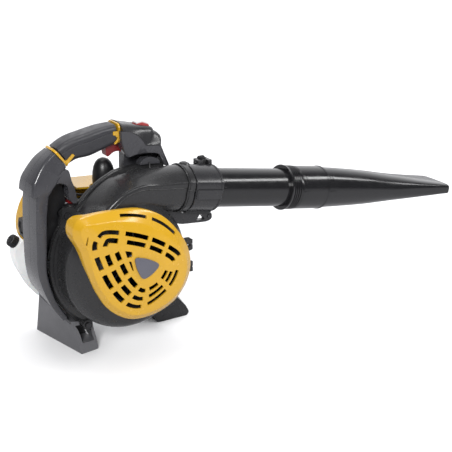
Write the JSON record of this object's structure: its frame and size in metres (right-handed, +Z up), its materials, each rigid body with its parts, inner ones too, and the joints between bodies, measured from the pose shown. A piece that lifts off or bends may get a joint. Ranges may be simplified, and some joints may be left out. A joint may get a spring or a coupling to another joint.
{
  "type": "hand-held petrol leaf blower",
  "caption": "Hand-held petrol leaf blower: fan housing with a hinged intake grille, engine and fuel tank behind it, arched trigger handle, and a tube that ends in a flat nozzle.",
  "frame": {"origin": "on the sole of the rear foot, where it rests, in the middle plane of the handle", "axes": "+X is the blow direction, +Y the engine side, away from the intake grille, +Z up, away from the soles of the feet"},
  "size_m": [0.7831, 0.2486, 0.3706],
  "materials": {
    "yellow_plastic": "satin moulded",
    "dark_plastic": "fine grain",
    "grey_plastic": "fine grain",
    "handle_grey": "fine grain",
    "tube_plastic": "semi-gloss",
    "black_plastic": "fine grain",
    "soft_rubber": "matt",
    "grip_rubber": "fine texture",
    "red_plastic": "satin",
    "switch_red": "satin",
    "tank_white": "translucent moulded",
    "badge_grey": "satin",
    "aluminium": "as cast",
    "steel": "machined",
    "black_steel": "heat resistant black",
    "filter_paper": "pleated paper",
    "bulb_rubber": "clear",
    "rope": "braided"
  },
  "bodies": {
    "housing": {"volute_shell": "dark_plastic", "volute_back": "dark_plastic", "cover_screw_1": "black_steel", "cover_screw_2": "black_steel", "cover_screw_3": "black_steel", "outlet_collar": "dark_plastic", "tube_clamp": "grey_plastic", "outlet_lug": "grey_plastic", "grille_hinge_pin": "steel", "bearing_fan_side": "steel", "bearing_starter_side": "steel", "crankcase_right": "aluminium", "crankcase_left": "aluminium", "cylinder": "aluminium", "ignition_coil": "black_plastic", "spark_plug": "steel", "plug_boot": "soft_rubber", "insulator_block": "black_plastic", "carburettor": "aluminium", "air_filter_housing": "black_plastic", "air_filter_element": "filter_paper", "muffler": "black_steel", "muffler_guard": "black_plastic", "engine_cover": "yellow_plastic", "fuel_tank": "tank_white", "starter_housing": "black_plastic", "rear_frame": "dark_plastic", "rear_foot": "grey_plastic", "front_foot": "dark_plastic", "front_damper": "soft_rubber", "rear_damper": "soft_rubber", "handle_right_half": "handle_grey", "handle_left_half": "handle_grey", "soft_grip": "grip_rubber", "grip_ring_rear": "yellow_plastic", "grip_ring_front": "yellow_plastic", "head_cover": "handle_grey", "trigger_pin": "steel", "throttle_cable": "black_plastic"},
    "rotor": {"crankshaft": "steel", "impeller": "black_plastic", "flywheel": "aluminium"},
    "piston": {"piston": "aluminium"},
    "trigger": {"throttle_trigger": "red_plastic"},
    "carb_throttle": {"carb_throttle_lever": "steel"},
    "choke": {"choke_lever": "red_plastic"},
    "primer": {"primer_bulb": "bulb_rubber"},
    "switch": {"stop_switch": "switch_red"},
    "starter_grip": {"starter_handle": "black_plastic"},
    "starter_drum": {"starter_pulley": "black_plastic", "starter_rope": "rope"},
    "tank_cap": {"fuel_cap": "black_plastic"},
    "grille": {"intake_grille": "yellow_plastic", "grille_badge": "badge_grey"},
    "latch": {"grille_latch": "black_plastic"},
    "knob": {"clamp_knob": "black_plastic"},
    "tube": {"blower_tube": "tube_plastic"},
    "nozzle": {"nozzle": "tube_plastic"}
  },
  "joints": [
    {"name": "crank_spin", "type": "hinge", "parent": "housing", "child": "rotor", "pos_m": [0.056, 0, 0.17], "axis": [0, 1, 0], "continuous": true},
    {"name": "piston_stroke", "type": "slide", "parent": "housing", "child": "piston", "axis": [0, 0, 1], "range_m": [-0.028, 0]},
    {"name": "trigger_squeeze", "type": "hinge", "parent": "housing", "child": "trigger", "pos_m": [0.076, 0, 0.335], "axis": [0, 1, 0], "range_deg": [0, 18]},
    {"name": "carb_throttle_turn", "type": "hinge", "parent": "housing", "child": "carb_throttle", "pos_m": [-0.004, 0.043, 0.254], "axis": [0, 1, 0], "range_deg": [0, 63.5]},
    {"name": "choke_turn", "type": "hinge", "parent": "housing", "child": "choke", "pos_m": [-0.009, 0.007, 0.2535], "axis": [0, 1, 0], "range_deg": [-45, 0]},
    {"name": "primer_push", "type": "slide", "parent": "housing", "child": "primer", "axis": [0, -1, 0], "range_m": [0, 0.004]},
    {"name": "stop_switch_rock", "type": "hinge", "parent": "housing", "child": "switch", "pos_m": [0.1115, 0, 0.357], "axis": [0, 1, 0], "range_deg": [-8, 8]},
    {"name": "starter_pull", "type": "slide", "parent": "housing", "child": "starter_grip", "axis": [0, 0, 1], "range_m": [0, 0.6]},
    {"name": "starter_drum_turn", "type": "hinge", "parent": "housing", "child": "starter_drum", "pos_m": [0.056, 0.1, 0.17], "axis": [0, 1, 0], "range_deg": [-1215, 0]},
    {"name": "fuel_cap_turn", "type": "hinge", "parent": "housing", "child": "tank_cap", "pos_m": [-0.0645, 0.108, 0.162], "axis": [-0.7619, 0, 0.6476], "range_deg": [0, 180]},
    {"name": "grille_open", "type": "hinge", "parent": "housing", "child": "grille", "pos_m": [0.145, -0.093, 0.17], "axis": [0, 0, 1], "range_deg": [0, 110]},
    {"name": "grille_latch_slide", "type": "slide", "parent": "grille", "child": "latch", "axis": [1, 0, 0], "range_m": [0, 0.003]},
    {"name": "clamp_knob_turn", "type": "hinge", "parent": "housing", "child": "knob", "pos_m": [0.201, -0.034, 0.2948], "axis": [1, 0, 0], "range_deg": [0, 720]},
    {"name": "tube_twist", "type": "hinge", "parent": "housing", "child": "tube", "pos_m": [0.142, -0.052, 0.266], "axis": [0.9863, 0, -0.165], "range_deg": [0, 20]},
    {"name": "nozzle_twist", "type": "hinge", "parent": "tube", "child": "nozzle", "pos_m": [0.142, -0.052, 0.266], "axis": [0.9863, 0, -0.165], "range_deg": [0, 30]}
  ],
  "couplings": [
    {"joint": "carb_throttle_turn", "follows": "trigger_squeeze", "ratio": 3.5},
    {"joint": "starter_drum_turn", "follows": "starter_pull", "rad_per_m": -35.211}
  ]
}
